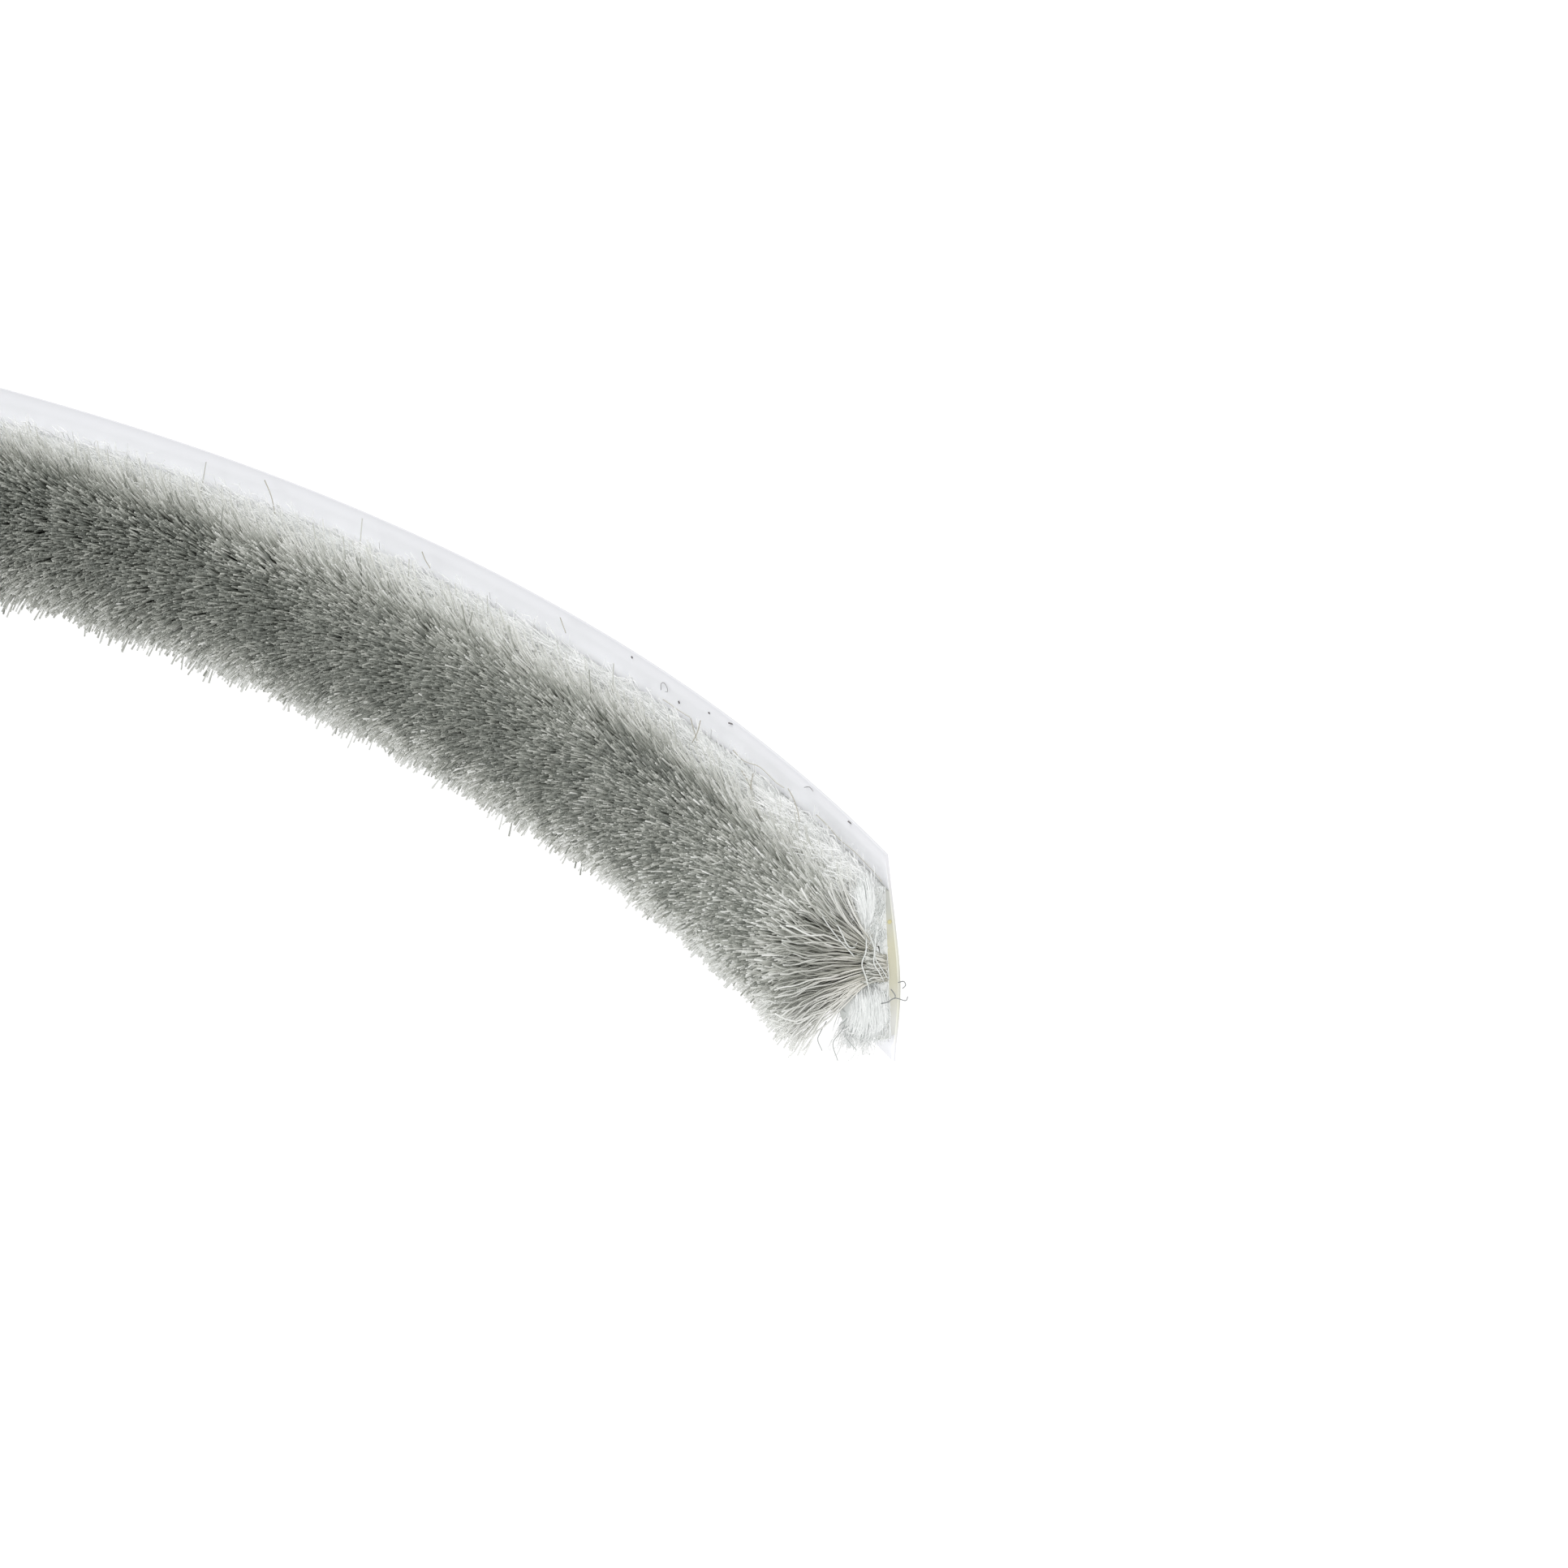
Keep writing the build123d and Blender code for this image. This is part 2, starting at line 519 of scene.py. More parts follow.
def liner_material():
    """White film with a painted glow, darkened with painted shade on its outer face and upper
    edge, and stained by the glue at its cut end.
    """
    material, tree, shader = principled(
        "liner_film", Roughness=0.38, Specular_IOR_Level=0.4,
        Emission_Color=FILM_GLOW, Emission_Strength=0.10,
    )
    cloud = ramp(tree, noise(tree, 60.0, 2.0), [
        (0.3, (0.895, 0.90, 0.935)), (0.7, (0.915, 0.92, 0.955))])
    # Painted shade on the film's outer face and upper edge
    painted_shade = ramp(tree, attribute(tree, "painted_film_shade"), [
        (0.0, WHITE_ALONE), (0.35, (0.88, 0.88, 0.88)), (1.0, (0.68, 0.68, 0.68))])
    stain = ramp(tree, attribute(tree, "cut"), [(0.0, WHITE_ALONE), (1.0, (0.78, 0.77, 0.62))])
    paint(tree, shader, cloud, painted_shade, stain)
    bump(tree, shader, noise(tree, 900.0, 2.0), 0.05, 0.00002)
    return material


def adhesive_material():
    """Yellowish glue, greyer towards both edges of the band."""
    material, tree, shader = principled("glue", Roughness=0.3)
    tint = ramp(tree, attribute(tree, "level"), [
        (0.10, (0.68, 0.68, 0.65)), (0.36, (0.61, 0.595, 0.47)), (0.62, (0.60, 0.58, 0.44)),
        (0.90, (0.52, 0.53, 0.49))])
    blotch = ramp(tree, noise(tree, 700.0, 4.0), [(0.3, (0.93, 0.93, 0.92)), (0.7, WHITE_ALONE)])
    paint(tree, shader, tint, blotch)
    bump(tree, shader, noise(tree, 2500.0), 0.3, 0.00003)
    return material


def backing_material():
    material, tree, shader = principled("woven_white", Roughness=0.6)
    weave = noise(tree, 2600.0, 4.0, 0.7)
    paint(tree, shader, ramp(tree, weave, [
        (0.25, (0.70, 0.715, 0.69)), (0.6, (0.79, 0.80, 0.78))]))
    bump(tree, shader, weave, 0.45, 0.00006)
    return material


def cotton_material():
    # A faint painted glow lifts the cotton's shaded sides.
    material, tree, shader = principled(
        "cotton_white", Roughness=0.95, Specular_IOR_Level=0.0,
        Emission_Color=FIBRE_GLOW, Emission_Strength=0.05,
    )
    paint(tree, shader, ramp(tree, noise(tree, 900.0), [
        (0.3, (0.60, 0.63, 0.61)), (0.7, (0.65, 0.67, 0.66))]))
    bump(tree, shader, noise(tree, 5000.0), 0.35, 0.00004)
    return material


def core_material():
    """The pile's inside, darkened by painted shade where fine fibres cover it."""
    material, tree, shader = principled("pile_depths", Roughness=0.9, Specular_IOR_Level=0.1)
    grain = noise(tree, 3000.0, 4.0, 0.7)
    grey = ramp(tree, grain, [(0.3, (0.16, 0.17, 0.155)), (0.7, (0.46, 0.48, 0.44))])
    dim = ramp(tree, attribute(tree, "coarse"), [(0.0, (0.34, 0.34, 0.34)), (1.0, WHITE_ALONE)])
    paint(tree, shader, grey, dim)
    bump(tree, shader, grain, 1.0, 0.0002)
    return material


def plain_material(name, colour, roughness):
    return principled(name, Roughness=roughness, Base_Color=(*colour, 1))[0]


GREYS = [(0.0, (0.106, 0.116, 0.101)), (0.25, (0.202, 0.214, 0.189)),
         (0.5, (0.363, 0.375, 0.337)), (0.75, (0.593, 0.601, 0.558)),
         (1.0, (0.883, 0.890, 0.862))]
WHITES = [(0.0, (0.885, 0.892, 0.884)), (1.0, (0.953, 0.958, 0.956))]
FRAYED_WHITES = [(0.0, (0.70, 0.72, 0.71)), (0.5, (0.87, 0.885, 0.88)), (1.0, (0.95, 0.96, 0.955))]
# Ramps of painted shade that darken the fibres towards their roots, from the root at 0 to the tip
# at 1
PAINTED_ROOT_SHADE = [(0.0, (0.62, 0.60, 0.57)), (0.5, (0.88, 0.88, 0.87)), (1.0, WHITE_ALONE)]
PAINTED_ROOT_SHADE_WARM = [(0.0, (0.88, 0.845, 0.785)), (0.4, (0.975, 0.955, 0.93)), (1.0, WHITE_ALONE)]
PAINTED_ROOT_SHADE_FRINGE = [(0.0, (0.80, 0.76, 0.70)), (0.4, (0.96, 0.94, 0.91)), (1.0, WHITE_ALONE)]
PAINTED_ROOT_SHADE_FAINT = [(0.0, (0.95, 0.95, 0.95)), (1.0, WHITE_ALONE)]

FILAMENT = fibre_material("grey_filament", GREYS, PAINTED_ROOT_SHADE, 0.34)
BARE = fibre_material("bare_filament", GREYS, PAINTED_ROOT_SHADE_WARM, 0.36)
# The pale, white and frayed filaments carry a painted glow.
PALE = fibre_material("pale_filament", GREYS, PAINTED_ROOT_SHADE_FRINGE, 0.36, 0.12)
WHITE = fibre_material("white_filament", WHITES, PAINTED_ROOT_SHADE_FAINT, glow=0.10)
FRAY = fibre_material("frayed_cord", FRAYED_WHITES, PAINTED_ROOT_SHADE_FAINT, glow=0.09)
LINER = liner_material()
GLUE = adhesive_material()
WOVEN = backing_material()
COTTON = cotton_material()
CORE = core_material()
BROWN = plain_material("brown_thread", (0.38, 0.36, 0.30), 0.6)
BEIGE = plain_material("beige_thread", (0.50, 0.48, 0.41), 0.6)
HAIR = plain_material("grey_hair", (0.24, 0.25, 0.25), 0.5)
PALE_HAIR = plain_material("pale_hair", (0.44, 0.46, 0.45), 0.5)
DUST = plain_material("grey_dust", (0.16, 0.15, 0.15), 0.7)
BEAD = plain_material("glue_bead", (0.58, 0.53, 0.28), 0.3)
THREAD = plain_material("cut_thread", (0.72, 0.74, 0.72), 0.5)


def stations(fine, coarse):
    """Distances along the whole strip, closer together in the photographed stretch."""
    near = np.arange(0, FINE_END, fine)
    far = np.linspace(FINE_END, STRIP_LENGTH, int((STRIP_LENGTH - FINE_END) / coarse))
    return np.concatenate([near, far])


def liner_painted_shade(distance, height, share_of_outline):
    """Painted shade: 1 on the liner's outer face and at its upper edge, 0 where it is left bright
    beside the backing."""
    outer = share_of_outline < 0.5
    return np.where(outer, 1.0, smoothstep(LINER_PAINTED_SHADE_ABOVE, LINER_WIDTH, height))


def liner_stain(distance, height, share_of_outline):
    """1 on the film's cut end, where the glue's colour shows through it."""
    beside_glue = smoothstep(0, 1, ADHESIVE_WIDTH / 2 - np.abs(height - BACKING_MIDDLE))
    return np.where(distance < LINER_STAIN_DEPTH / 2, beside_glue, 0.0)


def build_liner():
    heights = np.linspace(0, LINER_WIDTH, 15)
    back = [(liner_depth(h), h) for h in heights]
    front = [(liner_depth(h) + LINER_THICKNESS, h) for h in heights[::-1]]
    places = np.insert(stations(1.5, 3.0), 1, LINER_STAIN_DEPTH)
    return swept("liner_film", places, back + front, LINER,
                 attributes={"painted_film_shade": liner_painted_shade, "cut": liner_stain})


def glue_level(distance, height, share_of_outline):
    """0 at the glue band's lower edge, 1 at its upper one."""
    return (height - BACKING_MIDDLE) / ADHESIVE_WIDTH + 0.5


def build_adhesive():
    low = BACKING_MIDDLE - ADHESIVE_WIDTH / 2
    high = BACKING_MIDDLE + ADHESIVE_WIDTH / 2
    heights = np.linspace(low, high, 9)
    outer = [(liner_depth(h) + LINER_THICKNESS, h) for h in heights]
    inner = [(BACKING_BACK, h) for h in heights[::-1]]

    def wander(distance, depth, height):
        offset = height - BACKING_MIDDLE
        edge = np.abs(offset) > ADHESIVE_WIDTH / 2 - 0.4
        squeezed = 0.04 + 0.03 * lattice_noise(31, distance, height, 1.4, 2.0)
        return distance, depth, height + edge * np.sign(offset) * squeezed

    return swept("glue_band", stations(1.0, 3.0), outer + inner, GLUE, wander,
                 {"level": glue_level})


def cord_thickness(offset, cord):
    middle, half_width, edge, rise = cord
    return edge + rise * np.sqrt(np.clip(1 - ((offset - middle) / half_width) ** 2, 0, 1))


def backing_thickness(offset):
    """The backing's thickness at an offset from its middle."""
    offset = abs(offset)
    if offset < GROOVE_HALF_WIDTH:
        return GROOVE_THICKNESS
    inner = cord_thickness(offset, INNER_CORD)
    if offset < OUTER_CORD_START:
        return inner
    return max(inner, cord_thickness(offset, OUTER_CORD))


def build_backing():
    half = BACKING_WIDTH / 2
    cords = np.linspace(half, GROOVE_HALF_WIDTH + 0.04, 15)
    offsets = np.concatenate([cords, [GROOVE_WALL, 0, -GROOVE_WALL], -cords[::-1]])
    front = [(BACKING_BACK + backing_thickness(o), BACKING_MIDDLE + o) for o in offsets]
    back = [(BACKING_BACK, BACKING_MIDDLE + o) for o in (-half, -half / 2, 0, half / 2, half)]

    def picks(distance, depth, height):
        offset = height - BACKING_MIDDLE
        turn = distance * 2 * pi / PICK_LENGTH
        raised = depth > BACKING_BACK + 0.4
        rim = np.abs(offset) > half - 0.05
        depth = depth + raised * 0.05 * np.sin(turn + np.round(offset * 1.7) * pi)
        height = height + rim * np.sign(offset) * (0.05 * np.sin(turn) - 0.02)
        return distance, depth, height

    return swept("woven_tape", stations(0.2, 4.0), front + back, WOVEN, picks)


def core_coarseness(distance, height, share_of_outline):
    """0 where the fibres are fine and hide the core, 1 where it shows between coarse ones."""
    return smoothstep(FINE_END, COARSE_START, distance)


def build_core():
    """The dim inside of the pile, well below the fibre tips."""
    angles = np.linspace(MIDDLE_LOW + CORE_MARGIN, MIDDLE_HIGH - CORE_MARGIN, 7)
    tips = [fan(angle, CORE_REACH) for angle in angles]
    outline = [(GROOVE_FLOOR, -CORE_ROOT)] + tips + [(GROOVE_FLOOR, CORE_ROOT)]
    outline = [(depth, BACKING_MIDDLE + offset) for depth, offset in outline[::-1]]

    def ragged(distance, depth, height):
        wave = lattice_noise(41, distance, height, 1.5, 1.0)
        return distance, depth + (depth > 2.2) * 0.25 * wave, height

    return swept("pile_core", np.linspace(*CORE_STRETCH, 500), outline, CORE, ragged,
                 {"coarse": core_coarseness})


def fibre_points(distance, angle, start, length, lean, steps, wave, crimp, rng):
    """Points along fibres of the fan, from share start to length, in metres. They sway in
    long waves and crimp in short ones."""
    lean_s, lean_angle = lean
    t = np.linspace(0, 1, steps)[None, :]
    share = start[:, None] + (length - start)[:, None] * t
    bend = np.clip(share, 0, None) ** 1.6
    depth, offset = fan(angle[:, None] + lean_angle[:, None] * bend, share)
    phase = rng.uniform(0, 2 * pi, (len(angle), 4, 1))
    pace = rng.uniform(*SWAY_PACE, (len(angle), 1))
    tight = rng.uniform(*CRIMP_PACE, (len(angle), 1))
    swing = wave * np.sin(share * pace + phase[:, 0]) * bend
    sway = wave * np.sin(share * pace * 0.8 + phase[:, 1]) * bend
    swing = swing + crimp * np.sin(share * tight + phase[:, 2]) * share
    sway = sway + crimp * np.sin(share * tight * 1.1 + phase[:, 3]) * share
    s = distance[:, None] + lean_s[:, None] * bend + swing
    height = np.maximum(BACKING_MIDDLE + offset + sway, LOWEST_POINT)
    return place(s, depth, height)


def build_tips(name, low, high, per_mm2, thickness, seed, steps=2):
    """The outer ends of the middle fibres, over the whole face of the pile."""
    rng = np.random.default_rng(seed)
    face_width = across_face(MIDDLE_HIGH - MIDDLE_LOW)
    distance = spread_distances(rng, low, high, face_width * per_mm2)
    count = len(distance)
    fine = fineness(distance)
    angle = rng.uniform(MIDDLE_LOW, MIDDLE_HIGH, count)
    lean_s, lean_angle = fibre_lean(distance, angle, 51)
    lean_s = lean_s + rng.normal(0, TIP_SCATTER[0], count)
    lean_angle = lean_angle + rng.normal(0, TIP_SCATTER[1], count)
    stray = rng.random(count) < STRAY_TIPS
    lean_s = np.where(stray, lean_s * 2.2, lean_s)
    lean_angle = np.where(stray, lean_angle * 2.0, lean_angle)
    across = across_face(angle)
    length = 0.965 + rng.normal(0, 0.024, count)
    length += 0.065 * lattice_noise(61, distance, across, 0.9, 0.8)
    length += np.where(stray, rng.uniform(0, 0.06, count), 0)
    start = length - rng.uniform(0.36, 0.44, count)
    lean = (lean_s, lean_angle)
    points = fibre_points(distance, angle, start, length, lean, steps, 0.16, 0.10, rng)
    thinned = (thickness / fine ** 0.85)[:, None]
    radii = tapering(rng, thinned, count, steps, (0.75, 1.2), 1.0)
    contrast = 0.60 + 0.35 * (1 - smoothstep(16, 44, distance))
    # The middle's tone holds painted light and shade, besides each fibre's own.
    shade = middle_tone_with_painted_light(distance, angle) + contrast * (rng.beta(1.3, 2.4, count) - 0.35)
    shade += 0.08 * lattice_noise(71, distance, across, 2.5, 1.8)
    shade = np.where(stray & (angle > 20), np.maximum(shade, 0.55), shade)
    return strands(name, points, radii, FILAMENT, np.clip(shade, 0, 1), seed=seed + 3)


def build_row(name, row, per_mm, low, high, steps, seed, row_shade, material,
              stray_share=STRAY_IN_ROW):
    """An outer row of the pile, whose fibres show over their whole length."""
    rng = np.random.default_rng(seed)
    distance = spread_distances(rng, low, high, per_mm)
    count = len(distance)
    fine = fineness(distance)
    angle = row[0] + (row[1] - row[0]) * rng.random(count) ** 1.5
    lean_s, lean_angle = fibre_lean(distance, angle, seed + 1)
    lean_s = lean_s * 1.3 + rng.normal(0.05, ROW_SCATTER[0], count)
    lean_angle = lean_angle * 1.2 + rng.normal(0, ROW_SCATTER[1], count)
    length = rng.uniform(0.70, 1.0, count)
    stray = rng.random(count) < stray_share
    splayed = lean_angle + np.sign(row[1]) * rng.uniform(2, 9, count)
    lean_angle = np.where(stray, splayed, lean_angle)
    length = np.where(stray, rng.uniform(0.95, 1.12, count), length)
    start = rng.uniform(-0.04, 0.04, count)
    lean = (lean_s, lean_angle)
    points = fibre_points(distance, angle, start, length, lean, steps, 0.07, 0.04, rng)
    thickness = (ROW_RADIUS / fine ** 1.1)[:, None]
    radii = tapering(rng, thickness, count, steps, (0.8, 1.25), 0.8)
    # Painted light: the row's fibres grow lighter towards its outer edge, and the flank's painted
    # light and shade is added.
    outer = smoothstep(0, abs(row[1] - row[0]) * 0.6, np.abs(angle - row[0]))
    shade = row_shade + 0.30 * rng.beta(2.0, 2.0, count) + 0.36 * outer
    shade = np.where(stray, 0.8, shade + flank_painted_light(distance, angle))
    return strands(name, points, radii, material, np.clip(shade, 0, 1), seed=seed + 3)


def build_end_fan(name, low, high, per_mm, steps, seed):
    """Whole fibres, root to tip, at a cut end of the strip."""
    rng = np.random.default_rng(seed)
    count = int(abs(high - low) * per_mm)
    inwards = np.sign(high - low)
    distance = low + (high - low) * rng.random(count) ** 1.6
    angle = rng.uniform(*END_FAN, count)
    drooping = rng.random(count) < 0.18
    angle = np.where(drooping, rng.uniform(END_FAN[0], END_FAN_DROOP, count), angle)
    lean_s, lean_angle = fibre_lean(distance, angle, seed + 1)
    at_cut = low in (0.0, STRIP_LENGTH)
    foremost = at_cut * np.clip(1 - np.abs(distance - low) / 0.7, 0, 1)
    droop = smoothstep(8, 32, -angle)
    outwards = inwards * (0.75 + 0.45 * droop) * foremost
    lean_s = lean_s + rng.normal(0, END_FAN_SCATTER[0], count) - outwards
    lean_angle = lean_angle * 1.3 + rng.normal(0, END_FAN_SCATTER[1], count)
    lean_angle = np.maximum(lean_angle, END_FAN[0] - 2 - angle)
    length = 0.96 + rng.normal(0, 0.045, count) + 0.05 * droop
    lean = (lean_s, lean_angle)
    root = np.zeros(count)
    points = fibre_points(distance, angle, root, length, lean, steps, 0.20, 0.10, rng)
    radii = tapering(rng, END_FAN_RADIUS, count, steps, (0.75, 1.2), 1.0)
    shade = 0.46 + 0.64 * rng.beta(1.6, 2.0, count)
    # Painted light on the lowest, drooping rays and a little on the highest ones.
    shade += 0.60 * smoothstep(15, 31, -angle) + 0.06 * smoothstep(34, 50, angle)
    return strands(name, points, radii, BARE, np.clip(shade, 0, 1), seed=seed + 2)


def build_root_bundle():
    """The pile's fibres where they pass under the weave, at the free end."""
    rng = np.random.default_rng(451)
    count, steps = 340, 5
    t = np.linspace(0, 1, steps)[None, :]
    across = rng.uniform(-GROOVE_WALL, GROOVE_WALL, (count, 1))
    pinch = 0.74 + 0.14 * smoothstep(0, 0.9, t)
    foremost = rng.random((count, 1)) < 0.3
    ahead = rng.uniform(-0.12, -0.03, (count, 1))
    behind = rng.uniform(0.0, 1.3, (count, 1))
    start = np.where(foremost, ahead, behind)
    depth = np.where(foremost, 0.60, 0.93)
    depth = depth + rng.uniform(0, 0.15, (count, 1)) + t * rng.uniform(0.8, 1.0, (count, 1))
    s = start + rng.normal(0, 0.10, (count, 1)) * t
    height = BACKING_MIDDLE + across * pinch + 0.05 * np.sin(9 * t + across * 20)
    height = height - 0.16 * (1 - t)
    points = place(s, depth, height)
    radii = ROOT_RADIUS * rng.uniform(0.8, 1.2, (count, 1)) * MM
    shade = np.where(foremost[:, 0], 0.55, 0.30) + 0.45 * rng.random(count)
    return strands("root_bundle", points, radii, BARE, shade, seed=452)


def lump(name, centre, reach, taper, seed, material):
    """A closed, softly lumpy mass at a (distance, depth, height) point, narrower by the taper
    at its lower end."""
    rng = np.random.default_rng(seed)
    rows, around = 14, 20
    phi = np.linspace(0, pi, rows)[1:-1, None]
    theta = np.arange(around)[None, :] * 2 * pi / around
    ball = np.stack([np.sin(phi) * np.cos(theta), np.sin(phi) * np.sin(theta),
                     np.broadcast_to(np.cos(phi), (rows - 2, around))], -1).reshape(-1, 3)
    ball = np.concatenate([[[0, 0, 1]], ball, [[0, 0, -1]]])
    swell = np.ones(len(ball))
    for scale in (2.0, 3.5, 6.0):
        waves = rng.normal(size=(4, 3))
        swell += (0.07 / scale) * np.sin(scale * ball @ waves.T + rng.uniform(0, 6, 4)).sum(1)
    narrow = 1 - taper * ((1 - ball[:, 2:]) / 2) ** 1.5
    ball = ball * np.concatenate([narrow, narrow, np.ones_like(narrow)], 1)
    shape = ball * swell[:, None] * np.asarray(reach) + np.asarray(centre)
    vertices = place(*shape.T)
    corner = np.arange(around)
    pairs = list(zip(corner, (corner + 1) % around))
    faces = [(1 + a, 1 + b, 0) for a, b in pairs]
    for row in range(rows - 3):
        high = 1 + row * around
        low = high + around
        faces += [(low + a, low + b, high + b, high + a) for a, b in pairs]
    last = len(ball) - 1
    faces += [(last - around + b, last - around + a, last) for a, b in pairs]
    piece = new_mesh(name, vertices, np.concatenate(faces), [len(face) for face in faces])
    piece.data.materials.append(material)
    return piece


def drape(name, count, centre, reach, taper, first, last, seed):
    """Strands combed over the free face of a lump, from one of its levels to another. The
    levels run from -1 at its foot to 1 at its top."""
    rng = np.random.default_rng(seed)
    steps = 7
    t = np.linspace(0, 1, steps)[None, :]
    side = rng.uniform(-0.9, 0.95, (count, 1))
    side = side * np.linspace(0.75, 1.0, steps) + rng.normal(0.05, 0.16, (count, 1)) * t
    start = rng.uniform(*first, (count, 1))
    end = rng.uniform(*last, (count, 1))
    level = start + (end - start) * t + 0.05 * np.sin(7 * t + rng.uniform(0, 6, (count, 1)))
    narrow = 1 - taper * ((1 - np.clip(level, -1, 1)) / 2) ** 1.5
    front = narrow * np.sqrt(np.clip(1 - side ** 2 - level ** 2, 0, 1))
    s = centre[0] - 0.02 - 1.05 * reach[0] * front + 0.02 * rng.normal(size=(count, 1))
    height = np.clip(centre[2] + reach[2] * level, 0.3, FRAY_TOP)
    points = place(s, centre[1] + 0.95 * reach[1] * narrow * side, height)
    radii = tapering(rng, DRAPE_RADIUS, count, steps)
    return strands(name, points, radii, FRAY, rng.random(count) ** 0.7, seed=seed + 1)


def build_cut_face_fuzz():
    """Short ends of the weave that stand on the tape's cut face."""
    rng = np.random.default_rng(831)
    count, steps = 440, 4
    t = np.linspace(0, 1, steps)[None, :]
    zone = rng.random((count, 1))
    above, below, beside = (rng.uniform(*span, (count, 1)) for span in FUZZ_HEIGHTS)
    height = np.where(zone < 0.44, above, np.where(zone > 0.91, beside, below))
    depth = rng.uniform(0.58, 1.35, (count, 1))
    along_face = rng.normal(0, 0.45, (count, 1))
    inwards = rng.normal(0.06, 0.16, (count, 1))
    s = rng.uniform(0.02, 0.06, (count, 1)) - rng.uniform(0.05, 0.18, (count, 1)) * np.sqrt(t)
    z = np.clip(height + along_face * t, 1.05, 8.0)
    points = place(s, np.clip(depth + inwards * t, 0.57, 1.6), z)
    radii = tapering(rng, FLUFF_RADIUS, count, steps)
    return strands("cut_face_fuzz", points, radii, FRAY, rng.random(count), seed=832)


def build_fray():
    """Loose ends of the backing's cords, upwards from the upper ones and down from the rest."""
    rng = np.random.default_rng(801)
    count = 440
    upper = rng.random(count) < 0.55
    height = np.where(upper, rng.uniform(5.6, 8.1, count), rng.uniform(1.1, 2.6, count))
    depth = np.where(upper, rng.uniform(0.9, 2.1, count), rng.uniform(1.0, 2.4, count))
    start = rng.uniform(-0.05, 1.6, count)
    root = np.stack([start, depth, height], -1)
    reach = rng.uniform(0.4, 1.1, (count, 1))
    main = np.where(upper[:, None], (0.55, 0.55, 0.25), (0.10, 0.30, -0.85))
    way = (main + rng.normal(0, 0.4, (count, 3))) * reach
    bend = rng.normal(0, 0.16, (count, 3))
    steps = 5
    t = np.linspace(0, 1, steps)[:, None]
    path = root[:, None] + way[:, None] * t + bend[:, None] * t * t
    lowest = (-0.4, 0.65, 0.35)
    highest = (np.inf, 3.0, FRAY_TOP)
    points = place(*np.moveaxis(np.clip(path, lowest, highest), -1, 0))
    radii = tapering(rng, FRAY_RADIUS, count, steps)
    return strands("cut_end_fray", points, radii, WHITE, rng.random(count), seed=802)


def build_fluff(name, low, high, per_mm, steps, seed):
    """White fibres that stand off the backing and lie among the pile's upper row."""
    rng = np.random.default_rng(seed)
    distance = spread_distances(rng, low, high, per_mm)
    count = len(distance)
    low_fluff, high_fluff = FLUFF_HEIGHTS
    height = rng.uniform(low_fluff, high_fluff, count)
    depth = 1.25 - 0.35 * (height - low_fluff) / (high_fluff - low_fluff)
    near_end = 1 - smoothstep(4, 16, distance)
    reach = rng.uniform(0.5, 2.0, count) * (1 + 0.3 * near_end)
    turn = np.radians(rng.normal(48, 20, count))
    t = np.linspace(0, 1, steps)[None, :]
    lean = rng.normal(0.15, 0.45, (count, 1))
    curl_up = rng.normal(0, 0.22, (count, 2))
    s = distance[:, None] + lean * t + curl_up[:, :1] * t * t
    out = depth[:, None] + (reach * np.cos(turn))[:, None] * t
    z = height[:, None] + (reach * np.sin(turn))[:, None] * t + curl_up[:, 1:] * t * t
    points = place(s, out, np.minimum(z, FLUFF_TOP))
    radii = tapering(rng, FLUFF_RADIUS, count, steps) / fineness(distance)[:, None] ** 1.1
    return strands(name, points, radii, WHITE, rng.random(count), seed=seed + 1)


def smooth_curve(control, count=20):
    """A smooth curve through control points, as count points."""
    control = np.asarray(control, float)
    padded = np.vstack([2 * control[0] - control[1], control, 2 * control[-1] - control[-2]])
    spots = np.linspace(0, len(control) - 1 - 1e-9, count)
    span = spots.astype(int)
    t = (spots - span)[:, None]
    a, b, c, d = (padded[span + k] for k in range(4))
    return 0.5 * (2 * b + (c - a) * t + (2 * a - 5 * b + 4 * c - d) * t ** 2
                  + (3 * b - a - 3 * c + d) * t ** 3)


# Loose threads at the free end as (distance, depth, height) points, in millimetres
LOOSE_THREADS = [
    [(-0.1, 2.08, 4.98), (-0.4, 2.92, 6.08), (-0.5, 3.53, 7.08), (-0.3, 3.65, 7.52)],
    [(0.1, 1.86, 5.34), (-0.4, 2.39, 5.56), (-0.5, 2.77, 6.37), (-0.3, 3.15, 7.26)],
    [(-0.1, 1.51, 5.76), (-0.4, 1.63, 5.23), (-0.5, 1.86, 4.72), (-0.5, 1.70, 4.09),
     (-0.4, 1.55, 3.38), (-0.2, 1.55, 2.99)],
    [(-0.1, 1.01, 6.08), (-0.3, 1.17, 5.57), (-0.35, 1.21, 4.88), (-0.3, 0.94, 4.38),
     (-0.1, 0.63, 3.81)],
    [(-0.1, 1.35, 5.9), (-0.4, 1.24, 5.3), (-0.4, 1.30, 4.7), (-0.3, 1.05, 4.2),
     (-0.1, 0.8, 3.7)],
]

# Brown hairs that stand among the white fluff
FLANK_HAIRS = [
    [(25.06, 1.30, 8.81), (23.61, 1.70, 8.70), (21.73, 2.20, 8.64)],
    [(23.55, 1.40, 9.12), (22.92, 1.80, 8.79), (22.48, 2.20, 8.52)],
    [(17.69, 1.60, 8.43), (15.83, 2.00, 8.62), (13.83, 2.40, 8.74)],
    [(16.11, 1.60, 8.75), (15.15, 2.00, 8.70), (14.19, 2.40, 8.57)],
    [(12.11, 1.30, 9.11), (10.01, 1.70, 9.26), (8.12, 2.10, 9.28), (6.90, 2.40, 9.18)],
    [(67.35, 0.90, 9.30), (66.11, 1.40, 8.95), (65.06, 1.90, 8.45)],
    [(40.67, 0.90, 9.30), (39.56, 1.30, 9.35), (38.35, 1.70, 9.32)],
    [(54.04, 0.90, 9.04), (53.04, 1.30, 8.98), (51.87, 1.70, 8.96)],
]

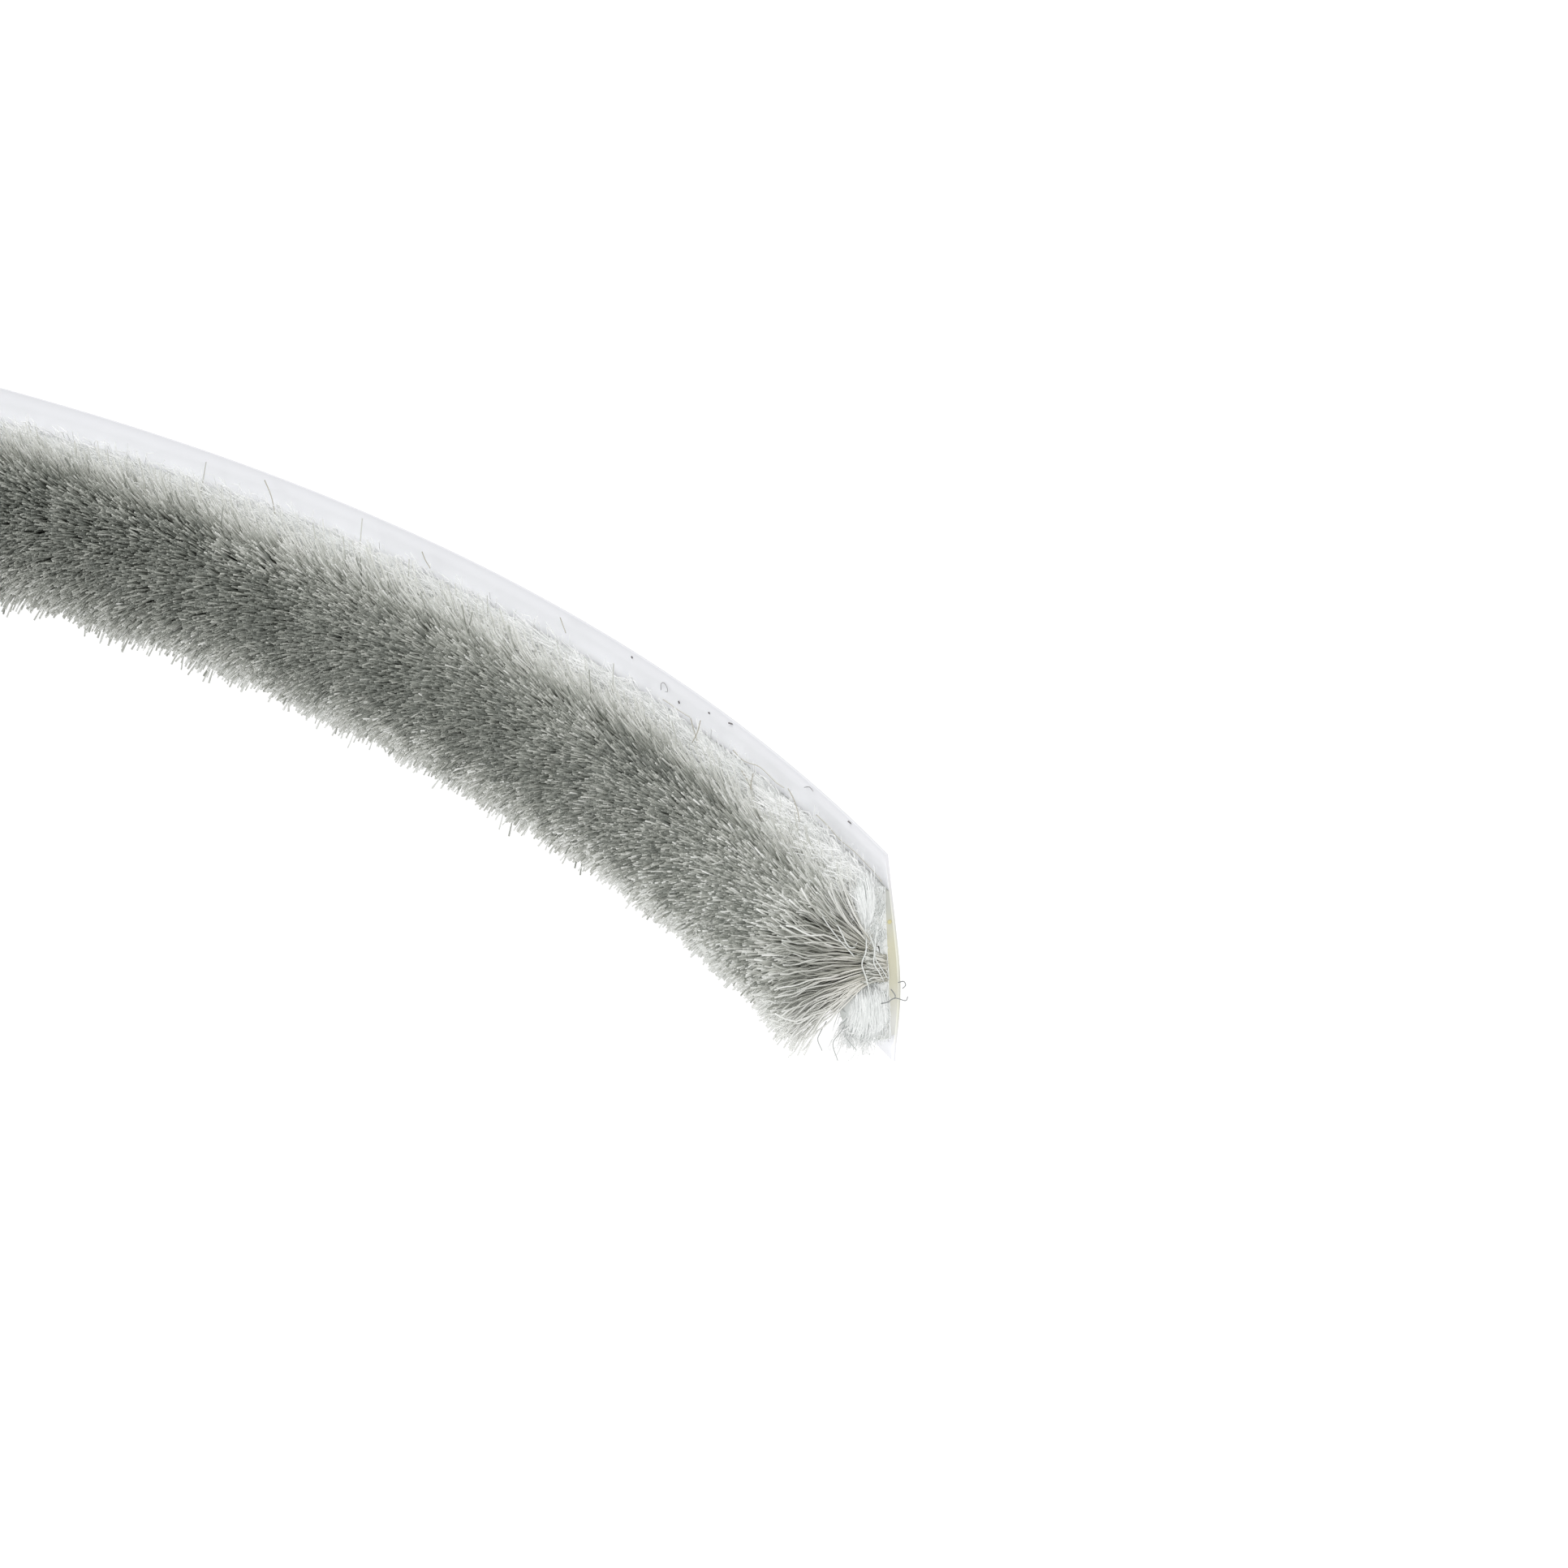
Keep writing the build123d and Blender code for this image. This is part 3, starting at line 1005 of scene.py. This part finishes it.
# Beige threads along the backing's upper edge
EDGE_THREADS = [
    [(29.18, 1.00, 8.53), (28.19, 1.05, 8.58), (27.28, 1.10, 8.60), (25.70, 1.10, 8.65)],
    [(20.27, 1.10, 8.62), (18.79, 1.10, 8.51), (16.91, 1.10, 8.80), (15.58, 1.10, 8.79),
     (14.47, 1.10, 8.72), (13.34, 1.10, 8.78)],
    [(9.49, 0.85, 8.59), (7.82, 0.85, 8.54), (6.00, 0.85, 8.42), (4.11, 0.85, 8.51),
     (2.32, 0.85, 8.50), (0.22, 0.85, 8.46), (-0.60, 0.85, 8.40)],
]

# Hairs and specks that cling to the liner
LINER_HAIRS = [
    [(30.59, 0.52, 8.53), (30.56, 0.52, 8.80), (30.26, 0.52, 8.95), (29.90, 0.52, 8.86),
     (29.82, 0.52, 8.66), (30.11, 0.52, 8.58)],
    [(12.16, 0.54, 9.06), (11.43, 0.54, 9.28), (10.87, 0.54, 9.24)],
]
LINER_SPECKS = [
    [(22.38, 0.50, 9.20), (21.95, 0.50, 9.27)],
    [(5.79, 0.50, 9.28), (5.41, 0.50, 9.30)],
    [(28.70, 0.46, 8.50), (28.62, 0.46, 8.41)],
    [(24.94, 0.50, 8.99), (24.84, 0.50, 8.97)],
    [(33.91, 0.50, 9.19), (33.83, 0.50, 9.13)],
]

# Grey hairs that cling to the cut glue, and pale ones that hang round the lower tuft
GLUE_HAIRS = [
    [(-0.2, 1.32, 2.73), (-0.4, 0.79, 2.82), (-0.4, 0.41, 2.97), (-0.4, -0.05, 2.80),
     (-0.3, -0.20, 2.94)],
    [(-0.2, 0.52, 3.33), (-0.4, 0.40, 3.10), (-0.4, 0.44, 2.94)],
    [(-0.2, 0.18, 3.60), (-0.4, -0.01, 3.68), (-0.4, -0.09, 3.5), (-0.3, 0.03, 3.33)],
]
TUFT_HAIRS = [
    [(0.5, 3.3, 2.0), (0.2, 3.68, 1.62), (0.1, 3.83, 1.32), (0.0, 3.68, 0.85)],
    [(0.5, 2.3, 2.0), (0.2, 2.71, 1.58), (0.1, 3.15, 1.09), (0.0, 3.0, 0.32)],
    [(0.5, 2.2, 2.2), (0.2, 2.49, 1.78), (0.1, 2.56, 1.32), (0.0, 2.11, 0.66)],
    [(0.4, 2.2, 3.0), (0.1, 2.78, 2.71), (0.0, 2.41, 2.29), (0.0, 2.86, 1.89)],
]


def build_threads(name, controls, radius, material, seed):
    """Single threads along listed curves."""
    curves = np.stack([smooth_curve(control) for control in controls])
    points = place(*np.moveaxis(curves, -1, 0))
    taper = np.linspace(1.0, 0.75, points.shape[1])
    shade = np.random.default_rng(seed).random(len(controls))
    return strands(name, points, radius * MM * taper, material, shade, sides=5, seed=seed)


liner = build_liner()
glue = build_adhesive()
tape = build_backing()
fine_middle = FINE_END / 2
rows_end = STRIP_LENGTH - 0.3
pile = [
    build_core(),
    build_tips("pile_tips_1", 3.0, 32.0, 100, 0.043, 11),
    build_tips("pile_tips_2", 32.0, 60.0, 100, 0.043, 21),
    build_tips("pile_tips_3", 60.0, 150.0, 70, 0.047, 31),
    build_tips("pile_tips_4", 150.0, 560.0, 36, 0.049, 35),
    build_tips("pile_tips_5", 560.0, STRIP_LENGTH - 0.4, 36, 0.049, 37),
    build_row("upper_row_end", UPPER_ROW_END, 90, -0.05, 1.4, 5, 231, 0.72, BARE),
    build_row("upper_row_1", UPPER_ROW, 80, 0.3, fine_middle, 4, 201, 0.42, BARE),
    build_row("upper_row_2", UPPER_ROW, 80, fine_middle, FINE_END, 4, 211, 0.42, BARE),
    build_row("upper_row_3", UPPER_ROW, 76, FINE_END, rows_end, 2, 221, 0.42, BARE),
    # The lower rows get a light shade and a painted glow, as painted light on the pile's lower
    # fringe.
    build_row("lower_row_1", LOWER_ROW, 30, 0.3, FINE_END, 3, 301, 0.76, PALE, 0.0),
    build_row("lower_row_2", LOWER_ROW, 30, FINE_END, rows_end, 2, 311, 0.76, PALE, 0.0),
    build_end_fan("free_end_fan", 0.0, 1.6, 260, 14, 401),
    build_end_fan("free_end_fan_inside", 1.6, 4.2, 260, 6, 411),
    build_end_fan("inner_end_fan", STRIP_LENGTH, STRIP_LENGTH - 1.6, 90, 8, 501),
    build_root_bundle(),
    build_threads("glue_hairs", GLUE_HAIRS, 0.028, HAIR, 701),
    build_threads("tuft_hairs", TUFT_HAIRS, 0.024, PALE_HAIR, 702),
    build_threads("flank_hairs", FLANK_HAIRS, 0.026, BROWN, 703),
    build_threads("liner_hairs", LINER_HAIRS, 0.014, DUST, 705),
    build_threads("liner_specks", LINER_SPECKS, 0.040, DUST, 707),
]
white = [
    tape,
    build_fray(),
    lump("upper_cord_tuft", *UPPER_TUFT, 803, COTTON),
    lump("lower_cord_tuft", *LOWER_TUFT, 804, COTTON),
    drape("upper_cord_drape", 130, *UPPER_TUFT, (-1.0, -0.2), (0.4, 1.15), 811),
    drape("lower_cord_drape", 260, *LOWER_TUFT, (0.2, 1.0), (-1.25, -0.3), 821),
    build_cut_face_fuzz(),
    build_fluff("backing_fluff", 0.2, FINE_END, 40.0, 3, 601),
    build_fluff("end_fluff", 0.0, 14.0, 24.0, 3, 621),
    build_fluff("backing_fluff_beyond", FINE_END, rows_end, 40.0, 2, 611),
    build_threads("loose_threads", LOOSE_THREADS, 0.034, THREAD, 711),
    build_threads("edge_threads", EDGE_THREADS, 0.024, BEIGE, 713),
]
bead = lump("glue_bead", (0.02, 0.40, 6.33), (0.08, 0.10, 0.11), 0.0, 805, BEAD)

for piece in [liner, glue, bead] + white + pile:
    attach(piece, "root")
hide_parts("release_liner")
for piece in (glue, bead):
    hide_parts("adhesive_layer")
for piece in white:
    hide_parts("woven_backing")
for piece in pile:
    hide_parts("brush_pile")


FLOOR_REACH = 3.0


def build_floor():
    """A floor that is lit from within, so that it stays white right up to the strip."""
    corners = FLOOR_REACH * np.array([(-1, -1, 0), (1, -1, 0), (1, 1, 0), (-1, 1, 0)])
    floor = new_mesh("floor", corners, [0, 1, 2, 3], [4], False)
    material = principled(
        "floor_white", Roughness=0.9, Base_Color=(0.2, 0.2, 0.2, 1), Specular_IOR_Level=0.0,
        Emission_Color=(1, 1, 1, 1), Emission_Strength=0.95,
    )[0]
    floor.data.materials.append(material)


def add_disk_light(name, target, aside, size, power):
    """A round light at an offset from its target."""
    light = bpy.data.lights.new(name, "AREA")
    light.shape = "DISK"
    light.size = size
    light.energy = power
    holder = bpy.data.objects.new(name, light)
    turn = (-Vector(aside)).to_track_quat("-Z", "Y").to_matrix().to_4x4()
    holder.matrix_world = Matrix.Translation(target + Vector(aside)) @ turn
    bpy.context.scene.collection.objects.link(holder)


def build_light():
    bpy.context.scene.view_settings.view_transform = "Standard"
    world = bpy.data.worlds.new("studio")
    world.use_nodes = True
    world.node_tree.nodes["Background"].inputs["Color"].default_value = (1, 1, 1, 1)
    world.node_tree.nodes["Background"].inputs["Strength"].default_value = 1.0
    bpy.context.scene.world = world
    near_end = Vector(place(20.0, 3.0, 5.0))
    add_disk_light("overhead", near_end, (0.15, 0.5, 1.095), 0.8, 1.5)
    add_disk_light("fill", near_end, (-1.1, -0.65, 0.355), 0.9, 4.0)
    add_disk_light("glint", near_end, (-0.35, -0.45, 0.945), 0.14, 1.2)


# The camera: where a point of the free end, at a height in millimetres, shows in the 1932 pixel
# frame, then angles in radians and a distance in metres
IMAGE_SIZE = 1932
FREE_END_PIXEL = (1109.0, 1178.67)
FREE_END_HEIGHT = 4.7
CAMERA_ELEVATION = 0.296
CAMERA_ROLL = -0.04166
CAMERA_DISTANCE = 2.4384
FOCAL_PIXELS = 69011.55
SENSOR_WIDTH = 36.0


def build_camera():
    data = bpy.data.cameras.new("camera")
    data.sensor_fit = "HORIZONTAL"
    data.sensor_width = SENSOR_WIDTH
    data.lens = SENSOR_WIDTH * FOCAL_PIXELS / IMAGE_SIZE
    data.clip_start = 0.1
    data.clip_end = 20.0
    camera = bpy.data.objects.new("camera", data)
    forward = Vector((0, cos(CAMERA_ELEVATION), -sin(CAMERA_ELEVATION)))
    level_up = Vector((0, sin(CAMERA_ELEVATION), cos(CAMERA_ELEVATION)))
    level_right = Vector((1, 0, 0))
    right = cos(CAMERA_ROLL) * level_right + sin(CAMERA_ROLL) * level_up
    up = cos(CAMERA_ROLL) * level_up - sin(CAMERA_ROLL) * level_right
    target = Vector(place(0.0, 0.0, FREE_END_HEIGHT))
    per_pixel = CAMERA_DISTANCE / FOCAL_PIXELS
    across = (FREE_END_PIXEL[0] - IMAGE_SIZE / 2) * per_pixel
    down = (FREE_END_PIXEL[1] - IMAGE_SIZE / 2) * per_pixel
    location = target - forward * CAMERA_DISTANCE - right * across + up * down
    rotation = Matrix((right, up, -forward)).transposed().to_4x4()
    camera.matrix_world = Matrix.Translation(location) @ rotation
    bpy.context.scene.collection.objects.link(camera)
    bpy.context.scene.camera = camera


build_floor()
build_light()
build_camera()
